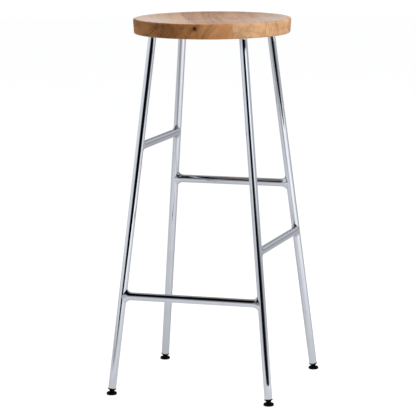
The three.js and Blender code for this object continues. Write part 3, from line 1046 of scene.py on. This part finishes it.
class STOOL_OT_pads(bpy.types.Operator):
    """Build the four tilting foot pads"""

    bl_idname = "stool.pads"
    bl_label = "Foot pads"

    def execute(self, context):
        sizes = context.scene.stool_glides
        ball_height = BALLS["front_left"].z
        socket = sizes.ball_diameter / 2 + FIT_GAP
        wall, lip, rim = 0.0013, 0.0023, 0.0015
        radius, low_round, high_round = sizes.pad_diameter / 2, 0.0020, 0.0032
        dome = socket + wall
        shoulder = sizes.pad_height - ball_height
        for corner in CORNERS:
            bm = bmesh.new()
            draw = Outline(bm, 0, -ball_height)
            draw.line(radius - low_round - rim, -ball_height, 3)
            draw.line(radius - low_round, -ball_height)
            draw.arc(radius - low_round, low_round - ball_height, math.pi / 2, 10)
            draw.line(radius, shoulder - high_round)
            draw.arc(radius - high_round, shoulder - high_round, math.pi / 2, 12)
            draw.line(math.sqrt(dome ** 2 - shoulder ** 2), shoulder)
            draw.arc(0, 0, math.asin(lip / dome) - math.asin(shoulder / dome), 6)
            draw.line(math.sqrt(socket ** 2 - lip ** 2), lip)
            draw.arc(0, 0, -math.pi / 2 - math.asin(lip / socket), 20)
            turn_round(bm, steps=72)
            bmesh.ops.translate(bm, verts=bm.verts[:], vec=BALLS[corner])
            finish_piece(mesh_from(bm), f"glide_foot_{corner}", [f"glide_pad_{corner}"],
                         plastic_material(), f"pad_{corner}")
        return {"FINISHED"}


class STOOL_OT_stage(bpy.types.Operator):
    """Lay the floor, set the soft light and place the camera"""

    bl_idname = "stool.stage"
    bl_label = "Stage"

    def execute(self, context):
        sizes = context.scene.stool_stage
        self.floor(sizes)
        self.surroundings(context.scene, sizes)
        right = sizes.azimuth + math.radians(50)
        self.lamp("key", sizes.key, right, away=2.4, height=1.3, across=1.1, aim_height=0.6)
        self.lamp("overhead", sizes.overhead, right + math.radians(60),
                  away=0.7, height=2.7, across=1.2, aim_height=0.7)
        self.camera(context.scene, sizes)
        context.scene.view_settings.view_transform = "Standard"
        return {"FINISHED"}

    def floor(self, sizes):
        """A pale floor, turned to face the camera, that ends short of it and is clear from below. Its
        glow is uneven, with painted light and painted shade on the floor round the stool.
        """
        half_width, far_edge, near_edge = 7, 9, -2.3
        bm = bmesh.new()
        corners = bmesh.ops.create_grid(bm, x_segments=1, y_segments=1, size=1)["verts"]
        for vert in corners:
            vert.co.x *= half_width
            vert.co.y = far_edge if vert.co.y > 0 else near_edge
        bmesh.ops.rotate(
            bm, verts=corners, cent=(0, 0, 0), matrix=Matrix.Rotation(sizes.azimuth, 3, "Z"))
        floor = bpy.data.objects.new("floor", mesh_from(bm))
        bpy.context.scene.collection.objects.link(floor)
        material = bpy.data.materials.new("Pale floor")
        material.use_nodes = True
        w = Wiring(material.node_tree)
        shader = material.node_tree.nodes["Principled BSDF"]
        shader.inputs["Base Color"].default_value = (0.30, 0.30, 0.30, 1)
        shader.inputs["Roughness"].default_value = 0.9
        shader.inputs["Specular IOR Level"].default_value = 0.0
        place = w.node("ShaderNodeTexCoord").outputs["Object"]
        turned = w.mapping(place, rotation=(0, 0, -sizes.azimuth))
        across, away, _ = w.split(turned)
        # Painted light: the floor glows brighter towards the camera and to the right, a painted pool of
        # light.
        painted_floor_light = w.plus(w.span(away, -2.0, 0.0, 1.18, 0.72, kind="LINEAR"),
                      w.span(across, 0.0, 1.6, 0.0, 0.22, kind="LINEAR"))
        # Painted shadow on the floor behind the stool.
        behind = w.times(w.span(away, -0.1, 0.7), w.span(across, -0.9, 0.2))
        painted_floor_light = w.math("SUBTRACT", painted_floor_light, w.times(behind, 0.42))
        # Painted shade on the floor near the camera, at the left.
        before = w.times(w.fall(away, -1.5, -0.6), w.fall(across, -0.3, 0.5))
        ray = w.node("ShaderNodeLightPath").outputs
        painted_floor_light = w.less(w.less(painted_floor_light, before, 0.65), ray["Is Diffuse Ray"], 0.66)
        painted_floor_light = w.math("MAXIMUM", painted_floor_light, w.times(ray["Is Camera Ray"], 0.92))
        w.feed(shader.inputs["Emission Strength"], painted_floor_light)
        shader.inputs["Emission Color"].default_value = (1, 1, 1, 1)
        under = w.node("ShaderNodeNewGeometry").outputs["Backfacing"]
        surface = w.node("ShaderNodeMixShader")
        w.feed(surface.inputs[0], w.times(under, ray["Is Camera Ray"]))
        w.feed(surface.inputs[1], shader.outputs[0])
        w.feed(surface.inputs[2], w.node("ShaderNodeBsdfTransparent").outputs[0])
        w.feed(material.node_tree.nodes["Material Output"].inputs["Surface"], surface.outputs[0])
        floor.data.materials.append(material)

    def surroundings(self, scene, sizes):
        """Pale all round, with a dark gap behind the camera and overhead for the chrome to catch."""
        world = bpy.data.worlds.new("Studio")
        world.use_nodes = True
        scene.world = world
        w = Wiring(world.node_tree)
        background = world.node_tree.nodes["Background"]
        ray = w.node("ShaderNodeLightPath").outputs
        place = w.node("ShaderNodeTexCoord").outputs["Generated"]
        turned = w.mapping(place, rotation=(0, 0, -sizes.azimuth))
        right, back, up = w.split(turned)
        sideways = w.times(w.math("ARCSINE", right), 180 / math.pi)
        over = w.times(w.math("ARCTAN2", up, w.times(back, -1.0)), 180 / math.pi)
        wall = w.span(sideways, -75.0, 20.0, 1.12, 0.72, kind="LINEAR")
        widened = w.plus(sideways, w.span(over, 5.0, 45.0, 0.0, 9.0))
        gap = w.times(w.span(widened, -43.0, -27.0), w.fall(sideways, 30.0, 86.0),
                      w.span(over, -78.0, -70.0), w.fall(over, 98.0, 128.0))
        panel = w.times(w.span(sideways, 14.0, 34.0), w.fall(sideways, 58.0, 72.0),
                        w.span(over, 4.5, 10.5), w.fall(over, 42.0, 56.0))
        low_right = w.times(w.span(up, 0.05, 0.28, 0.42, 0.0), w.span(right, 0.20, 0.50))
        high_middle = w.times(w.span(up, 0.08, 0.27, 0.0, 0.62), w.fall(right, 0.10, 0.34))
        wall = w.less(wall, w.span(back, 0.45, 0.80), w.plus(low_right, high_middle))
        shade = w.less(w.less(wall, gap, 0.995), panel, 1.0)
        shade = w.less(w.plus(shade, w.times(panel, 1.75)), ray["Is Diffuse Ray"], 0.45)
        seen = w.mix(w.times(shade, 0.5), (0.0, 0.0, 0.0), (1.96, 2.0, 2.06))
        seen = w.mix(ray["Is Camera Ray"], seen, (1.05, 1.05, 1.05))
        w.feed(background.inputs["Color"], seen)
        background.inputs["Strength"].default_value = sizes.backdrop

    def lamp(self, name, power, turn, away, height, across, aim_height):
        """A large soft lamp that the polished metal doesn't mirror."""
        light = bpy.data.lights.new(name, "AREA")
        light.shape = "RECTANGLE"
        light.size, light.size_y = across, across * 1.2
        light.energy = power
        lamp = bpy.data.objects.new(name, light)
        bpy.context.scene.collection.objects.link(lamp)
        lamp.location = (math.sin(turn) * away, -math.cos(turn) * away, height)
        aim = Vector((0, 0, aim_height)) - Vector(lamp.location)
        lamp.rotation_euler = aim.to_track_quat("-Z", "Y").to_euler()
        lamp.visible_glossy = False

    def camera(self, scene, sizes):
        target = (CAD_LOW + CAD_HIGH) / 2
        across, up = math.sin(sizes.azimuth), math.sin(sizes.elevation)
        back = Vector((across * math.cos(sizes.elevation),
                       -math.cos(sizes.azimuth) * math.cos(sizes.elevation), up))
        lens = bpy.data.cameras.new("camera")
        lens.lens = sizes.lens
        lens.sensor_width = 36
        lens.shift_x, lens.shift_y = sizes.shift_across, sizes.shift_up
        lens.clip_start, lens.clip_end = 0.1, 60
        camera = bpy.data.objects.new("camera", lens)
        scene.collection.objects.link(camera)
        camera.location = target + back * sizes.distance
        aim = (-back).to_track_quat("-Z", "Y").to_matrix()
        camera.rotation_euler = (aim @ Matrix.Rotation(sizes.roll, 3, "Z")).to_euler()
        scene.camera = camera


class STOOL_PT_build(bpy.types.Panel):
    """Lists the sizes and the pieces of the stool"""

    bl_idname = "STOOL_PT_build"
    bl_label = "Bar stool"
    bl_space_type = "VIEW_3D"
    bl_region_type = "UI"
    bl_category = "Bar stool"

    def draw(self, context):
        for title, group in SIZE_GROUPS:
            box = self.layout.box()
            box.label(text=title)
            sizes = getattr(context.scene, group)
            for name in type(sizes).__annotations__:
                box.prop(sizes, name)
        for operator in OPERATORS:
            self.layout.operator(operator.bl_idname)


OPERATORS = (
    STOOL_OT_seat,
    STOOL_OT_cross,
    STOOL_OT_screws,
    STOOL_OT_legs,
    STOOL_OT_rungs,
    STOOL_OT_plugs,
    STOOL_OT_pads,
    STOOL_OT_stage,
)
SIZE_GROUPS = (
    ("Seat", "stool_seat"),
    ("Frame", "stool_frame"),
    ("Glides", "stool_glides"),
    ("Stage", "stool_stage"),
)
GROUP_TYPES = (StoolSeat, StoolFrame, StoolGlides, StoolStage)


def register():
    for kind in (*GROUP_TYPES, *OPERATORS, STOOL_PT_build):
        bpy.utils.register_class(kind)
    for (_, name), kind in zip(SIZE_GROUPS, GROUP_TYPES):
        setattr(bpy.types.Scene, name, PointerProperty(type=kind))


def unregister():
    for _, name in SIZE_GROUPS:
        delattr(bpy.types.Scene, name)
    for kind in reversed((*GROUP_TYPES, *OPERATORS, STOOL_PT_build)):
        bpy.utils.unregister_class(kind)


def main():
    register()
    bpy.ops.stool.seat()
    bpy.ops.stool.cross()
    bpy.ops.stool.screws()
    bpy.ops.stool.legs()
    bpy.ops.stool.rungs()
    bpy.ops.stool.plugs()
    bpy.ops.stool.pads()
    bpy.ops.stool.stage()


if __name__ == "__main__":
    main()
